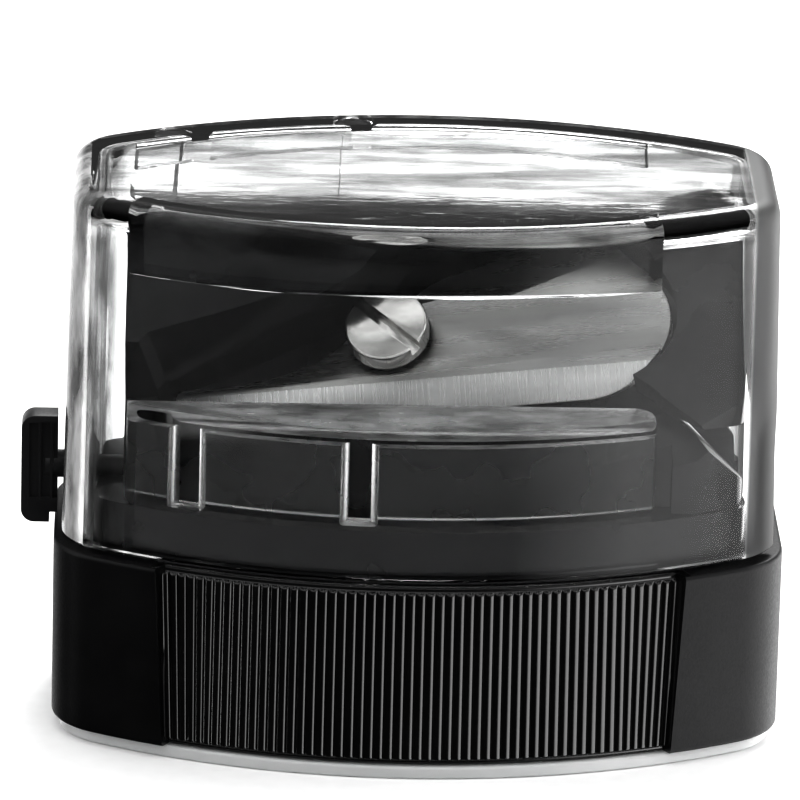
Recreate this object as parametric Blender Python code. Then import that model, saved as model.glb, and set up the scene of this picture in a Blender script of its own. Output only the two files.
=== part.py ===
"""Container pencil sharpener: base, sharpening insert, blade, lift-off clear cover and cleaning stick.

Metres, +Z up, front towards -Y. The origin is the centre of the resting face.
The pencil goes in along X from the right-hand side.
"""
from math import asin, atan2, cos, pi, radians, sin, sqrt, tan

import bmesh
import bpy
from mathutils import Matrix, Vector

MM = 0.001

# Plan outline: bowed front and back, short straight sides, rounded corners
WIDTH = 41.0 * MM
DEPTH = 25.0 * MM
BOW_RADIUS = 36.0 * MM
CORNER_RADIUS = 4.5 * MM

# Heights
FOOT_TOP = 0.45 * MM
RING_BOTTOM = 0.75 * MM
RING_TOP = 11.2 * MM
COVER_BOTTOM = 11.5 * MM
DECK_TOP = 14.1 * MM
BLOCK_TOP = 28.1 * MM
COVER_TOP = 31.8 * MM

GAP = 0.3 * MM
EDGE = 0.3 * MM

# Insets from the plan outline
FOOT_INSET = 0.45 * MM
FOOT_PLATE = 0.8 * MM
FOOT_RIM_WALL = 1.0 * MM
FOOT_RIM_TOP = 3.2 * MM
RING_WALL = 1.95 * MM
INSERT_INSET = RING_WALL + GAP
INSERT_WALL = 1.2 * MM
COVER_INSET = 0.45 * MM
COVER_DRAFT = 0.4 * MM
COVER_WALL = 1.4 * MM
COVER_EDGE = 1.1 * MM
INNER_EDGE = 0.6 * MM

# Ribbed grip panels, front and back
RIB_COUNT = 54
PANEL_HALF_WIDTH = 14.65 * MM
RIB_TIP_INSET = 0.5 * MM
RIB_ROOT_INSET = 0.85 * MM

# Sharpening cone along X: the tip is on the left and the mouth on the right
AXIS_Z = 16.8 * MM
PENCIL_RADIUS = 4.2 * MM
HALF_ANGLE = radians(11.0)
CONE_TIP_X = -9.0 * MM
CONE_MOUTH_X = CONE_TIP_X + PENCIL_RADIUS / tan(HALF_ANGLE)
SEAT_TILT = radians(50.0)

# Insert: hollow deck, and a wedge body with a sloping face parallel to the pencil, a narrow ridge
# and a forward cheek at the mouth
DECK_UNDER = 11.8 * MM
BODY_X = (-16.4 * MM, 18.2 * MM)
BODY_FRONT = -5.2 * MM
BODY_BACK = 8.6 * MM
CHEEK_LEFT = 13.75 * MM
CHEEK_FRONT = -6.3 * MM
BODY_INSET = 2.6 * MM
FACE_DISTANCE = 5.9 * MM
RIDGE_BACK = 5.0 * MM
RIDGE_FALL = radians(62)
CONE_TIP_RADIUS = 0.3 * MM
OVERLAP = 0.01 * MM

# Blade in its own plane: s runs along the cutting edge from the cone tip, w up from it
BLADE_THICK = 0.9 * MM
BLADE_END = (18.5 * MM, 4.6 * MM)
BLADE_END_RADIUS = 4.85 * MM
BEVEL_WIDTH = 1.8 * MM
BEVEL_EDGE = 0.15 * MM

SCREW_AT = (7.6 * MM, 4.5 * MM)
SCREW_HEAD_RADIUS = 2.33 * MM
SCREW_HEAD_HEIGHT = 1.25 * MM
SCREW_SHANK_RADIUS = 1.2 * MM
SCREW_LENGTH = 5.2 * MM
SLOT_WIDTH = 0.65 * MM
SLOT_DEPTH = 0.7 * MM

# Cleaning stick: a ribbed tab outside the cover and a pin in a channel under the cone
TAB_X = (-22.4 * MM, -20.35 * MM)
TAB_Z = (10.9 * MM, 17.2 * MM)
TAB_DEPTH = 1.6 * MM
TAB_CORNER = 0.75 * MM
TAB_STEP = (-20.8 * MM, 11.5 * MM)
GROOVE_PITCH = 0.67 * MM
GROOVE_WIDTH = 0.5 * MM
GROOVE_DEPTH = 0.2 * MM
GROOVE_LANDS = (1.45 * MM, 0.4 * MM)
PIN_Z = 14.15 * MM
PIN_RADIUS = 0.8 * MM
PIN_END_X = -3.0 * MM
PIN_POINT = 0.7 * MM
PIN_POINT_RADIUS = 0.3 * MM

# Clear frame moulded inside the cover: a shelf, skirt and short columns at the front, a thick
# upper wall above them, and a strip with two columns at the back
SHELF_Z = (19.1 * MM, 20.1 * MM)
SHELF_BACK = -5.6 * MM
FRAME_X = (-16.2 * MM, 12.7 * MM)
SKIRT_OFFSET = 1.2 * MM
SKIRT_THICK = 0.9 * MM
SKIRT_LOW = 14.5 * MM
UPPER_LOW = 27.8 * MM
UPPER_THICK = 1.8 * MM
UPPER_FALL = radians(14)
BACK_LOW = 29.2 * MM
COLUMN_X = (-12.9 * MM, -3.5 * MM)
COLUMN_RADIUS = 1.05 * MM
COLUMN_INSET = 0.35 * MM
BACK_COLUMN_LOW = 25.8 * MM
ROOT = 0.4 * MM
OPENING_RADIUS = 4.7 * MM


def clear_scene():
    for obj in list(bpy.data.objects):
        bpy.data.objects.remove(obj, do_unlink=True)


def collection(name):
    group = bpy.data.collections.new(name)
    bpy.context.scene.collection.children.link(group)
    return group


def material(name, color, roughness, metallic=0.0, transmission=0.0):
    mat = bpy.data.materials.new(name)
    mat.use_nodes = True
    shader = mat.node_tree.nodes["Principled BSDF"]
    shader.inputs["Base Color"].default_value = (*color, 1.0)
    shader.inputs["Roughness"].default_value = roughness
    shader.inputs["Metallic"].default_value = metallic
    shader.inputs["Transmission Weight"].default_value = transmission
    return mat


def add_object(name, bm, group, mat=None):
    """Turn a bmesh into an object with outward faces."""
    bmesh.ops.recalc_face_normals(bm, faces=bm.faces)
    if bm.calc_volume(signed=True) < 0:
        bmesh.ops.reverse_faces(bm, faces=bm.faces)
    mesh = bpy.data.meshes.new(name)
    bm.to_mesh(mesh)
    bm.free()
    obj = bpy.data.objects.new(name, mesh)
    group.objects.link(obj)
    if mat:
        mesh.materials.append(mat)
        mesh.shade_smooth()
        mesh.set_sharp_from_angle(angle=radians(30))
    return obj


def boolean(obj, tool, operation="DIFFERENCE"):
    """Apply a cutter or a joined shape and keep it as a hidden wire object."""
    tool.hide_render = True
    tool.display_type = "WIRE"
    modifier = obj.modifiers.new(tool.name, "BOOLEAN")
    modifier.operation = operation
    modifier.object = tool
    modifier.solver = "EXACT"


def arc(center, radius, start, end, count):
    """Points along an arc; angles are measured from +X."""
    points = []
    for i in range(count):
        a = start + (end - start) * i / (count - 1)
        points.append((center[0] + radius * cos(a), center[1] + radius * sin(a)))
    return points


def corner_center():
    x = WIDTH / 2 - CORNER_RADIUS
    y = BOW_RADIUS - DEPTH / 2 - sqrt((BOW_RADIUS - CORNER_RADIUS) ** 2 - x * x)
    return x, -y


def outline(inset, bow_count=15, corner_count=6):
    """Plan outline moved inwards by inset, counter-clockwise from the front left."""
    bow_y = BOW_RADIUS - DEPTH / 2
    cx, cy = corner_center()
    half_bow = atan2(cx, bow_y + cy)
    corner = CORNER_RADIUS - inset
    points = arc((0, bow_y), BOW_RADIUS - inset, -pi / 2 - half_bow, -pi / 2 + half_bow, bow_count)
    points += arc((cx, -cy), corner, -pi / 2 + half_bow, 0, corner_count)[1:]
    points += arc((cx, cy), corner, 0, pi / 2 - half_bow, corner_count)
    points += arc((0, -bow_y), BOW_RADIUS - inset, pi / 2 - half_bow, pi / 2 + half_bow, bow_count)[1:]
    points += arc((-cx, cy), corner, pi / 2 + half_bow, pi, corner_count)[1:]
    points += arc((-cx, -cy), corner, pi, 3 * pi / 2 - half_bow, corner_count)[:-1]
    return points


def bow(inset, sign):
    """Front (-1) or back (+1) bow with a recessed panel of V ribs, left to right as seen from there."""
    bow_y = BOW_RADIUS - DEPTH / 2
    cx, cy = corner_center()
    half_bow = atan2(cx, bow_y + cy)
    half_panel = asin(PANEL_HALF_WIDTH / BOW_RADIUS)
    stations = [(-half_bow, 0.0), (-half_panel, 0.0)]
    for i in range(RIB_COUNT):
        left = -half_panel + 2 * half_panel * i / RIB_COUNT
        middle = left + half_panel / RIB_COUNT
        stations += [(left, RIB_ROOT_INSET), (middle, RIB_TIP_INSET)]
    stations += [(half_panel, RIB_ROOT_INSET), (half_panel, 0.0), (half_bow, 0.0)]
    points = []
    for a, recess in stations:
        r = BOW_RADIUS - max(inset, recess)
        points.append((-sign * r * sin(a), -sign * bow_y + sign * r * cos(a)))
    return points


def ribbed_outline(inset, corner_count=6):
    """Plan outline whose two bows carry the grip ribs."""
    cx, cy = corner_center()
    half_bow = atan2(cx, BOW_RADIUS - DEPTH / 2 + cy)
    corner = CORNER_RADIUS - inset
    points = bow(inset, -1)
    points += arc((cx, -cy), corner, -pi / 2 + half_bow, 0, corner_count)[1:]
    points += arc((cx, cy), corner, 0, pi / 2 - half_bow, corner_count)
    points += bow(inset, 1)[1:]
    points += arc((-cx, cy), corner, pi / 2 + half_bow, pi, corner_count)[1:]
    points += arc((-cx, -cy), corner, pi, 3 * pi / 2 - half_bow, corner_count)[:-1]
    return points


def loft(sections, closed=False):
    """Skin a list of (outline, z) sections; the ends are capped unless the path closes on itself."""
    bm = bmesh.new()
    loops = [[bm.verts.new((x, y, z)) for x, y in points] for points, z in sections]
    pairs = list(zip(loops, loops[1:]))
    if closed:
        pairs.append((loops[-1], loops[0]))
    for low, high in pairs:
        n = len(low)
        for i in range(n):
            j = (i + 1) % n
            bm.faces.new((low[i], low[j], high[j], high[i]))
    if not closed:
        bm.faces.new(loops[0])
        bm.faces.new(loops[-1])
    return bm


def prism(points, thickness, matrix):
    """A flat outline raised by thickness along its own +Z, placed by matrix."""
    bm = loft([(points, 0.0), (points, thickness)])
    bm.transform(matrix)
    return bm


def box(low, high):
    bm = bmesh.new()
    bmesh.ops.create_cube(bm, size=1.0)
    size = Vector(high) - Vector(low)
    middle = (Vector(high) + Vector(low)) / 2
    bm.transform(Matrix.Translation(middle) @ Matrix.Diagonal((*size, 1.0)))
    return bm


def cone(radius_low, radius_high, low, high, segments=32):
    """A cone or cylinder between two points."""
    bm = bmesh.new()
    run = Vector(high) - Vector(low)
    bmesh.ops.create_cone(bm, cap_ends=True, segments=segments, radius1=radius_low, radius2=radius_high,
                          depth=run.length)
    turn = run.to_track_quat("Z", "Y").to_matrix().to_4x4()
    bm.transform(Matrix.Translation((Vector(low) + Vector(high)) / 2) @ turn)
    return bm


def yz_plane(x):
    """Places a flat outline drawn in (Y, Z) at x, raised along +X."""
    return Matrix(((0, 0, 1, x), (1, 0, 0, 0), (0, 1, 0, 0), (0, 0, 0, 1)))


def xz_plane(y):
    """Places a flat outline drawn in (X, Z) at y, raised along +Y."""
    return Matrix(((1, 0, 0, 0), (0, 0, 1, y), (0, 1, 0, 0), (0, 0, 0, 1)))


def blade_frame():
    """Blade axes: X along the cutting edge, Y up the blade, Z out of its face; origin at the cone tip."""
    out = Vector((0.0, -cos(SEAT_TILT), sin(SEAT_TILT)))
    along = Vector((cos(HALF_ANGLE), 0.0, 0.0)) + out * sin(HALF_ANGLE)
    up = Vector((0.0, sin(SEAT_TILT), cos(SEAT_TILT)))
    normal = along.cross(up)
    if normal.dot(out) < 0:
        normal.negate()
    turn = Matrix((along, up, normal)).transposed().to_4x4()
    return Matrix.Translation((CONE_TIP_X, 0.0, AXIS_Z)) @ turn


def blade_outline():
    """Narrow tip on the left, an S-shaped upper edge and a round right-hand end."""
    lower = -0.25 * MM
    start = -asin((BLADE_END[1] - lower) / BLADE_END_RADIUS)
    points = [(-4.5 * MM, lower)]
    points += arc(BLADE_END, BLADE_END_RADIUS, start, pi / 2 + 0.1, 14)
    points += [(9.6 * MM, 8.5 * MM), (8.3 * MM, 7.9 * MM), (5.6 * MM, 4.9 * MM), (4.0 * MM, 3.5 * MM)]
    points += [(1.5 * MM, 2.5 * MM), (-1.0 * MM, 2.1 * MM), (-4.2 * MM, 2.0 * MM), (-4.5 * MM, 1.7 * MM)]
    return points


def make_ring(group, mat):
    """Grip ring: a tube with a ribbed panel at the front and at the back."""
    sections = [
        (ribbed_outline(EDGE), RING_BOTTOM),
        (ribbed_outline(0.0), RING_BOTTOM + EDGE),
        (ribbed_outline(0.0), RING_TOP - EDGE),
        (ribbed_outline(EDGE), RING_TOP),
        (ribbed_outline(RING_WALL), RING_TOP),
        (ribbed_outline(RING_WALL), RING_BOTTOM),
    ]
    return add_object("base_ring", loft(sections, closed=True), group, mat)


def make_foot(group, mat):
    """Clear foot plate with an upstanding rim that plugs into the insert's skirt."""
    rim = INSERT_INSET + INSERT_WALL + GAP
    chamfer = EDGE / 2
    sections = [
        (outline(FOOT_INSET + chamfer), 0.0),
        (outline(FOOT_INSET), chamfer),
        (outline(FOOT_INSET), FOOT_TOP),
        (outline(rim), FOOT_TOP),
        (outline(rim), FOOT_RIM_TOP - EDGE),
        (outline(rim + EDGE), FOOT_RIM_TOP),
        (outline(rim + FOOT_RIM_WALL), FOOT_RIM_TOP),
        (outline(rim + FOOT_RIM_WALL), FOOT_PLATE),
    ]
    return add_object("foot_plate", loft(sections), group, mat)


def face_cutter():
    """Everything above the wedge's sloping face, which keeps its distance from the pencil's axis."""
    reach = 45.0 * MM
    points = [(-reach, -reach), (reach, -reach), (reach, reach), (-reach, reach)]
    lean = Matrix.Translation((0, 0, AXIS_Z)) @ Matrix.Rotation(pi / 2 - SEAT_TILT, 4, "X")
    return prism(points, reach, lean @ Matrix.Translation((0, 0, FACE_DISTANCE)))


def pocket_cutter():
    """Blade pocket: wider than the blade, open below the cutting edge so that shavings leave."""
    radius = BLADE_END_RADIUS + 1.5 * GAP
    low = -22.0 * MM
    points = [(-2.0 * MM, low), (28.5 * MM, low), (28.5 * MM, -6.6 * MM), (22.2 * MM, -0.6 * MM)]
    points += arc(BLADE_END, radius, radians(-58), pi / 2, 12)
    points += [(9.4 * MM, 9.4 * MM), (5.6 * MM, 6.4 * MM), (0.1 * MM, 4.2 * MM), (-4.9 * MM, 2.4 * MM)]
    points += [(-5.4 * MM, 1.8 * MM), (-5.4 * MM, -1.0 * MM), (-2.0 * MM, -1.0 * MM)]
    return prism(points, 12.0 * MM, blade_frame() @ Matrix.Translation((0, 0, -GAP)))


def tip_cutter():
    """Lowers the wedge in front of the blade's narrow tip."""
    left = -20.0 * MM
    points = [(left, -22.0 * MM), (-1.0 * MM, -22.0 * MM), (-1.0 * MM, 1.7 * MM), (left, 1.7 * MM)]
    return prism(points, 12.0 * MM, blade_frame() @ Matrix.Translation((0, 0, BLADE_THICK + GAP)))


def window_cutter():
    """Three-cornered window across the cheek, in front of and behind the pencil."""
    points = [(14.3 * MM, 19.1 * MM), (18.6 * MM, 18.85 * MM), (18.6 * MM, 14.7 * MM)]
    return prism(points, 2 * DEPTH, xz_plane(-DEPTH))


def back_cutter():
    """Slopes the wedge's back away from its narrow ridge."""
    reach = 8.0 * MM
    points = [(RIDGE_BACK, BLOCK_TOP), (RIDGE_BACK + reach, BLOCK_TOP - reach * tan(RIDGE_FALL)),
              (RIDGE_BACK + reach, BLOCK_TOP + 1 * MM), (RIDGE_BACK, BLOCK_TOP + 1 * MM)]
    return prism(points, WIDTH, yz_plane(-WIDTH / 2))


def make_insert(group, tools, mat):
    """Sharpening insert: skirt and deck that plug into the ring, wedge body, cone and channels."""
    inner = INSERT_INSET + INSERT_WALL
    sections = [
        (outline(inner), DECK_UNDER),
        (outline(inner), RING_BOTTOM + GAP),
        (outline(INSERT_INSET), RING_BOTTOM + GAP),
        (outline(INSERT_INSET), DECK_TOP - EDGE),
        (outline(INSERT_INSET + EDGE), DECK_TOP),
    ]
    insert = add_object("sharpener_insert", loft(sections), group, mat)

    base_z = DECK_TOP - EDGE
    body = add_object("body", box((BODY_X[0], BODY_FRONT, base_z), (BODY_X[1], BODY_BACK, BLOCK_TOP)), tools)
    cheek = box((CHEEK_LEFT, CHEEK_FRONT, base_z), (BODY_X[1], 0.0, BLOCK_TOP - 1 * MM))
    boolean(body, add_object("cheek", cheek, tools), "UNION")
    limit = loft([(outline(BODY_INSET), DECK_UNDER), (outline(BODY_INSET), COVER_TOP)])
    boolean(body, add_object("body_limit", limit, tools), "INTERSECT")
    boolean(body, add_object("face_cutter", face_cutter(), tools))
    boolean(body, add_object("pocket_cutter", pocket_cutter(), tools))
    boolean(body, add_object("tip_cutter", tip_cutter(), tools))
    boolean(body, add_object("window_cutter", window_cutter(), tools))
    boolean(body, add_object("back_cutter", back_cutter(), tools))
    boolean(insert, body, "UNION")

    mouth = (CONE_MOUTH_X, 0, AXIS_Z)
    run_out = (CONE_TIP_X - 0.4 * MM, 0, AXIS_Z)
    cone_tool = cone(CONE_TIP_RADIUS, PENCIL_RADIUS + OVERLAP, run_out, mouth)
    boolean(insert, add_object("cone_cutter", cone_tool, tools))
    entry = cone(PENCIL_RADIUS, PENCIL_RADIUS, (CONE_MOUTH_X - 2 * OVERLAP, 0, AXIS_Z), (WIDTH / 2, 0, AXIS_Z))
    boolean(insert, add_object("entry_cutter", entry, tools))

    channel = cone(PIN_RADIUS + GAP, PIN_RADIUS + GAP, (-WIDTH / 2, 0, PIN_Z), (PIN_END_X + GAP, 0, PIN_Z), 20)
    boolean(insert, add_object("channel_cutter", channel, tools))

    seat = blade_frame()
    top = seat @ Vector((*SCREW_AT, BLADE_THICK))
    bottom = seat @ Vector((*SCREW_AT, -SCREW_LENGTH - GAP))
    hole = cone(SCREW_SHANK_RADIUS + GAP, SCREW_SHANK_RADIUS + GAP, bottom, top, 20)
    boolean(insert, add_object("screw_hole_cutter", hole, tools))
    return insert


def make_blade(group, tools, mat):
    """Steel blade with a screw hole and a ground bevel along its lower edge."""
    frame = blade_frame()
    blade = add_object("blade", prism(blade_outline(), BLADE_THICK, frame), group, mat)
    hole = cone(SCREW_SHANK_RADIUS + GAP, SCREW_SHANK_RADIUS + GAP,
                frame @ Vector((*SCREW_AT, -1.0 * MM)), frame @ Vector((*SCREW_AT, 2.0 * MM)), 24)
    boolean(blade, add_object("blade_hole_cutter", hole, tools))
    rise = BLADE_THICK - BEVEL_EDGE
    low = -0.25 * MM
    wedge = [(low - 0.5 * MM, BEVEL_EDGE - 0.5 * MM * rise / BEVEL_WIDTH), (low + BEVEL_WIDTH * 1.5,
             BEVEL_EDGE + rise * 1.5), (low - 0.5 * MM, BEVEL_EDGE + rise * 1.5)]
    boolean(blade, add_object("bevel_cutter", prism(wedge, WIDTH, frame @ yz_plane(-8.0 * MM)), tools))
    return blade


def make_screw(group, tools, mat):
    """Slotted screw: head above the blade, shank through it into the insert."""
    frame = blade_frame()
    face = BLADE_THICK + GAP
    top = face + SCREW_HEAD_HEIGHT
    bm = bmesh.new()
    edge = 0.15 * MM
    profile = [(0.0, -SCREW_LENGTH), (SCREW_SHANK_RADIUS, -SCREW_LENGTH), (SCREW_SHANK_RADIUS, face),
               (SCREW_HEAD_RADIUS, face), (SCREW_HEAD_RADIUS, top - edge), (SCREW_HEAD_RADIUS - edge, top),
               (0.0, top)]
    verts = [bm.verts.new((r, 0, z)) for r, z in profile]
    edges = [bm.edges.new(pair) for pair in zip(verts, verts[1:])]
    bmesh.ops.spin(bm, geom=verts + edges, cent=(0, 0, 0), axis=(0, 0, 1), angle=2 * pi, steps=32,
                   use_merge=True)
    bmesh.ops.remove_doubles(bm, verts=bm.verts, dist=0.005 * MM)
    bm.transform(frame @ Matrix.Translation((*SCREW_AT, 0)))
    screw = add_object("blade_screw", bm, group, mat)
    slot = box((-3 * MM, -SLOT_WIDTH / 2, top - SLOT_DEPTH), (3 * MM, SLOT_WIDTH / 2, top + 1 * MM))
    slot.transform(frame @ Matrix.Translation((*SCREW_AT, 0)) @ Matrix.Rotation(radians(-45), 4, "Z"))
    boolean(screw, add_object("slot_cutter", slot, tools))
    return screw


def cover_shell():
    """Outer skin, top and inner skin of the cover in one loft, open at the bottom."""
    ceiling = COVER_TOP - COVER_WALL
    top_inset = COVER_INSET + COVER_DRAFT
    shoulder = COVER_TOP - COVER_EDGE
    sections = [
        (outline(top_inset + COVER_WALL + INNER_EDGE), ceiling),
        (outline(top_inset + COVER_WALL), ceiling - INNER_EDGE),
        (outline(COVER_INSET + COVER_WALL), COVER_BOTTOM),
        (outline(COVER_INSET), COVER_BOTTOM),
        (outline(top_inset), shoulder),
    ]
    for i in range(1, 6):
        a = pi / 2 * i / 5
        sections.append((outline(top_inset + COVER_EDGE * (1 - cos(a))), shoulder + COVER_EDGE * sin(a)))
    return loft(sections)


def band(outer, inner, low, high, side=1, fall=0.0):
    """A curved strip along the front (1) or back (-1) wall; its underside may fall towards the inside."""
    bow_y = BOW_RADIUS - DEPTH / 2
    points = []
    for inset, order in ((outer, 1), (inner, -1)):
        r = BOW_RADIUS - inset
        start, end = (asin(x / r) for x in FRAME_X)
        points += arc((0, bow_y), r, -pi / 2 + start, -pi / 2 + end, 12)[::order]
    points = [(x, y * side) for x, y in points]
    bm = loft([(points, low), (points, high)])
    bm.verts.ensure_lookup_table()
    for vert in bm.verts[len(points) // 2:len(points)]:
        vert.co.z -= (inner - outer) * tan(fall)
    return bm


def make_cover(group, tools, mat):
    """Clear cover with its inner frame, the pencil opening and the notch for the cleaning stick."""
    cover = add_object("clear_cover", cover_shell(), group, mat)
    wall = COVER_INSET + COVER_WALL
    front = wall - ROOT
    skirt = wall + SKIRT_OFFSET
    roof = COVER_TOP - COVER_WALL + ROOT / 2

    bow_y = BOW_RADIUS - DEPTH / 2
    r = BOW_RADIUS - front
    start, end = (asin(x / r) for x in FRAME_X)
    shelf = arc((0, bow_y), r, -pi / 2 + start, -pi / 2 + end, 12)
    shelf += [(FRAME_X[1], SHELF_BACK), (FRAME_X[0], SHELF_BACK)]
    shelf_tool = add_object("shelf", loft([(shelf, SHELF_Z[0]), (shelf, SHELF_Z[1])]), tools)
    boolean(cover, shelf_tool, "UNION")

    strips = (("front_skirt", band(skirt, skirt + SKIRT_THICK, SKIRT_LOW, SHELF_Z[0] + ROOT / 2)),
              ("upper_wall", band(front, wall + UPPER_THICK, UPPER_LOW, roof, 1, UPPER_FALL)),
              ("back_strip", band(skirt, skirt + SKIRT_THICK, BACK_LOW, roof, -1)))
    for name, strip in strips:
        boolean(cover, add_object(name, strip, tools), "UNION")

    for i, x in enumerate(COLUMN_X):
        y = bow_y - sqrt((BOW_RADIUS - wall) ** 2 - x * x) + COLUMN_INSET
        for side, place, low, high in (("front", y, SKIRT_LOW, SHELF_Z[1] - ROOT / 2),
                                       ("back", -y, BACK_COLUMN_LOW, roof)):
            column = cone(COLUMN_RADIUS, COLUMN_RADIUS, (x, place, low), (x, place, high), 16)
            boolean(cover, add_object("%s_column_%d" % (side, i), column, tools), "UNION")

    for name, radius, axis_z, x, count in (
            ("pencil_opening_cutter", OPENING_RADIUS, AXIS_Z, WIDTH / 2 - 4 * MM, 17),
            ("stick_notch_cutter", PIN_RADIUS + 2 * GAP, PIN_Z, -WIDTH / 2 - 2 * MM, 9)):
        slot = [(-radius, COVER_BOTTOM - 1 * MM), (radius, COVER_BOTTOM - 1 * MM)]
        slot += arc((0, axis_z), radius, 0, pi, count)
        boolean(cover, add_object(name, prism(slot, 6 * MM, yz_plane(x)), tools))
    return cover


def make_stick(group, tools, mat):
    """Cleaning stick: ribbed tab, stepped to clear the ring, with a pin."""
    half = TAB_DEPTH / 2
    points = arc((TAB_X[0] + TAB_CORNER, TAB_Z[0] + TAB_CORNER), TAB_CORNER, pi, 3 * pi / 2, 5)
    points += [(TAB_STEP[0], TAB_Z[0]), TAB_STEP, (TAB_X[1], TAB_STEP[1]), (TAB_X[1], TAB_Z[1])]
    points += arc((TAB_X[0] + TAB_CORNER, TAB_Z[1] - TAB_CORNER), TAB_CORNER, pi / 2, pi, 5)
    stick = add_object("cleaning_stick", prism(points, TAB_DEPTH, xz_plane(-half)), group, mat)

    for side in (-1, 1):
        for i in range(3):
            x = TAB_X[0] + 0.45 * MM + GROOVE_PITCH * i
            tool = box((x, side * half - GROOVE_DEPTH, TAB_Z[0] + GROOVE_LANDS[0]),
                       (x + GROOVE_WIDTH, side * half + GROOVE_DEPTH, TAB_Z[1] - GROOVE_LANDS[1]))
            boolean(stick, add_object("groove_cutter_%d_%d" % (side, i), tool, tools))

    root = TAB_X[1] - PIN_POINT
    shoulder = PIN_END_X - PIN_POINT
    pin = cone(PIN_RADIUS - OVERLAP, PIN_RADIUS - OVERLAP, (root, 0, PIN_Z), (shoulder + OVERLAP, 0, PIN_Z), 20)
    boolean(stick, add_object("pin", pin, tools), "UNION")
    point = cone(PIN_RADIUS, PIN_POINT_RADIUS, (shoulder, 0, PIN_Z), (PIN_END_X, 0, PIN_Z), 20)
    boolean(stick, add_object("pin_point", point, tools), "UNION")
    return stick


def build():
    clear_scene()
    group = collection("pencil_sharpener")
    tools = collection("cutters")
    satin = material("satin_black", (0.02, 0.02, 0.021), 0.45)
    gloss = material("gloss_black", (0.012, 0.012, 0.013), 0.18)
    stick_black = material("stick_black", (0.015, 0.015, 0.016), 0.35)
    clear_lid = material("clear_cover", (0.96, 0.97, 0.97), 0.03, transmission=1.0)
    clear_foot = material("clear_foot", (0.94, 0.95, 0.95), 0.08, transmission=1.0)
    steel = material("blade_steel", (0.62, 0.62, 0.61), 0.32, metallic=1.0)
    nickel = material("nickel", (0.75, 0.74, 0.72), 0.18, metallic=1.0)
    make_ring(group, satin)
    make_foot(group, clear_foot)
    make_insert(group, tools, gloss)
    make_blade(group, tools, steel)
    make_screw(group, tools, nickel)
    make_cover(group, tools, clear_lid)
    make_stick(group, tools, stick_black)


build()
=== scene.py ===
"""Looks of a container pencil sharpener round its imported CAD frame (metres, +Z up, front towards -Y)."""
from math import asin, atan2, cos, pi, radians, sin, sqrt, tan

import bmesh
import bpy
from mathutils import Matrix, Vector


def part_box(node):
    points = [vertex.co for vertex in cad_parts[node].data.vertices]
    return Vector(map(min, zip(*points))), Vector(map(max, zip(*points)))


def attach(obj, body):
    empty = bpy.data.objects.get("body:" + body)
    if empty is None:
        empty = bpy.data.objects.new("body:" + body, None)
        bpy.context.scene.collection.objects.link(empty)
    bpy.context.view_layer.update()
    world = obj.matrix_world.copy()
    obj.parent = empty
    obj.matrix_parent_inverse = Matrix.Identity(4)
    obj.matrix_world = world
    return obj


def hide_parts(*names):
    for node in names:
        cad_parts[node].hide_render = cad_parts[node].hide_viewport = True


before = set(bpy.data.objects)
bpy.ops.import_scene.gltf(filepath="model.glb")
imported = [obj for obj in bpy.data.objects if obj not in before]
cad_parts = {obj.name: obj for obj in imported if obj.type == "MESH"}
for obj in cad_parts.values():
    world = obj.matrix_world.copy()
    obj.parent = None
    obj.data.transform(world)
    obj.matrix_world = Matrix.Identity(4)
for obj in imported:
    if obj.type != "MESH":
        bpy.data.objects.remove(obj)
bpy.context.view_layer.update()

MM = 0.001

# ---------------------------------------------------------------- sizes taken from the CAD frame
ring_low, ring_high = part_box("base_ring")
cover_low, cover_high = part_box("clear_cover")
foot_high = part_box("foot_plate")[1]
insert_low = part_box("sharpener_insert")[0]
stick_low, stick_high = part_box("cleaning_stick")

# Plan outline: bowed front and back, short straight sides, rounded corners
WIDTH = ring_high.x - ring_low.x
DEPTH = 25.0 * MM
BOW_RADIUS = 36.0 * MM
BOW_CENTER_Y = BOW_RADIUS - DEPTH / 2
CORNER_RADIUS = 4.5 * MM
GAP = 0.3 * MM

# Base and cover shell: heights, and insets from the plan outline
FOOT_TOP = 0.45 * MM
FOOT_INSET = 0.45 * MM
FOOT_PLATE = 0.7 * MM
FOOT_RIM_WALL = 1.0 * MM
RING_BOTTOM = ring_low.z
RING_TOP = ring_high.z
RING_WALL = 1.95 * MM
RING_ROUND = 0.22 * MM
INSERT_INSET = RING_WALL + GAP
INSERT_WALL = 1.2 * MM
DECK_UNDER = 11.8 * MM
DECK_TOP = 14.1 * MM
BLOCK_TOP = 28.1 * MM
COVER_BOTTOM = cover_low.z
COVER_TOP = cover_high.z
COVER_INSET = 0.45 * MM
COVER_DRAFT = 0.4 * MM
COVER_WALL = 1.4 * MM
COVER_EDGE = 1.1 * MM
INNER_EDGE = 0.6 * MM

# Ribbed panels of the ring
RIB_COUNT = 54
RIB_TIP_INSET = 0.5 * MM
RIB_DEPTH = 0.20 * MM
RIB_FULLNESS = 0.98
RIB_SAMPLES = 12
SQUEEZED_RIBS = 6
PANEL_HALF_WIDTH = 14.65 * MM
PANEL_DRAFT = 0.3 * MM
PANEL_TAPER = 0.55 * MM
STEP_SLOPE = radians(78)

# Sharpening cone along X
AXIS_Z = 16.8 * MM
PENCIL_RADIUS = 4.2 * MM
HALF_ANGLE = radians(11.0)
CONE_TIP_X = -9.0 * MM
CONE_TIP_RADIUS = 0.3 * MM
CONE_MOUTH_X = CONE_TIP_X + PENCIL_RADIUS / tan(HALF_ANGLE)
SEAT_TILT = radians(50.0)
OVERLAP = 0.01 * MM

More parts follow.
